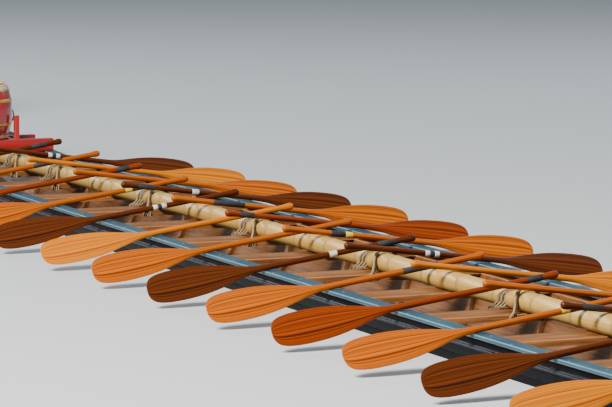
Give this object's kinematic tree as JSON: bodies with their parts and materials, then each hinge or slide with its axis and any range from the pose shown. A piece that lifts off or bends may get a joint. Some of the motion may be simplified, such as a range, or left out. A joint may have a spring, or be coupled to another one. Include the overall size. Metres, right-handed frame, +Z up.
{
  "type": "wooden dragon boat",
  "caption": "Long low dragon boat: black hull with a painted gunwale, thwarts for pairs of paddlers, paddles laid across it, drum, steering oar, carved head and tail.",
  "frame": {"origin": "on the boat's centreline amidships, at the waterline", "axes": "+X towards the bow, +Y to port, +Z up"},
  "size_m": [18.0218, 2.3377, 2.1754],
  "materials": {
    "hull_black": "gloss black lacquer",
    "gunwale_paint": "satin blue-grey paint, worn pale at the edges",
    "inner_wood": "oiled, scuffed",
    "thwart_wood": "varnished, worn",
    "bamboo": "satin",
    "paddle_wood": "varnished, dark grain",
    "drum_lacquer": "gloss red lacquer",
    "dragon_gold": "gold lacquer",
    "dragon_red": "red lacquer",
    "horn_paint": "satin",
    "bronze": "dull, worn bright at the lock"
  },
  "bodies": {
    "hull": {"hull_log": "hull_black", "stem_block": "hull_black", "stern_block": "hull_black", "side_plank_port": "hull_black", "side_plank_starboard": "hull_black", "rub_rail_port": "hull_black", "rub_rail_starboard": "hull_black", "gunwale_cap_port": "gunwale_paint", "gunwale_cap_starboard": "gunwale_paint", "frames_and_keelson": "inner_wood", "floorboard_port": "inner_wood", "floorboard_starboard": "inner_wood", "bow_deck": "inner_wood", "stern_deck": "inner_wood", "steering_arm": "inner_wood", "seat_frame": "thwart_wood", "helm_platform": "thwart_wood", "drummer_seat": "thwart_wood", "stiffening_pole": "bamboo", "drum_stand": "drum_lacquer", "drum": "drum_lacquer", "dragon_head": "dragon_gold", "dragon_jaw": "dragon_gold", "dragon_tail": "dragon_gold", "dragon_tongue": "dragon_red", "dragon_mane": "dragon_red", "tail_fins": "dragon_red", "dragon_horn_port": "horn_paint", "dragon_horn_starboard": "horn_paint", "paddle_port_01": "paddle_wood", "paddle_port_02": "paddle_wood", "paddle_port_03": "paddle_wood", "paddle_port_04": "paddle_wood", "paddle_port_05": "paddle_wood", "paddle_port_06": "paddle_wood", "paddle_port_07": "paddle_wood", "paddle_port_08": "paddle_wood", "paddle_port_09": "paddle_wood", "paddle_port_10": "paddle_wood", "paddle_port_11": "paddle_wood", "paddle_port_12": "paddle_wood", "paddle_port_13": "paddle_wood", "paddle_port_14": "paddle_wood", "paddle_starboard_01": "paddle_wood", "paddle_starboard_02": "paddle_wood", "paddle_starboard_03": "paddle_wood", "paddle_starboard_04": "paddle_wood", "paddle_starboard_05": "paddle_wood", "paddle_starboard_06": "paddle_wood", "paddle_starboard_07": "paddle_wood", "paddle_starboard_08": "paddle_wood", "paddle_starboard_09": "paddle_wood", "paddle_starboard_10": "paddle_wood", "paddle_starboard_11": "paddle_wood", "paddle_starboard_12": "paddle_wood", "paddle_starboard_13": "paddle_wood", "paddle_starboard_14": "paddle_wood"},
    "crutch": {"crutch": "bronze"},
    "steering_oar": {"steering_oar": "paddle_wood"}
  },
  "joints": [
    {"name": "steer_yaw", "type": "hinge", "parent": "hull", "child": "crutch", "pos_m": [-6.7, 0.4792, 0.44323], "axis": [0, 0, 1], "range_deg": [-40, 8]},
    {"name": "oar_dip", "type": "hinge", "parent": "crutch", "child": "steering_oar", "pos_m": [-6.7, 0.4792, 0.44323], "axis": [0, 1, 0], "range_deg": [-6, 24]}
  ]
}
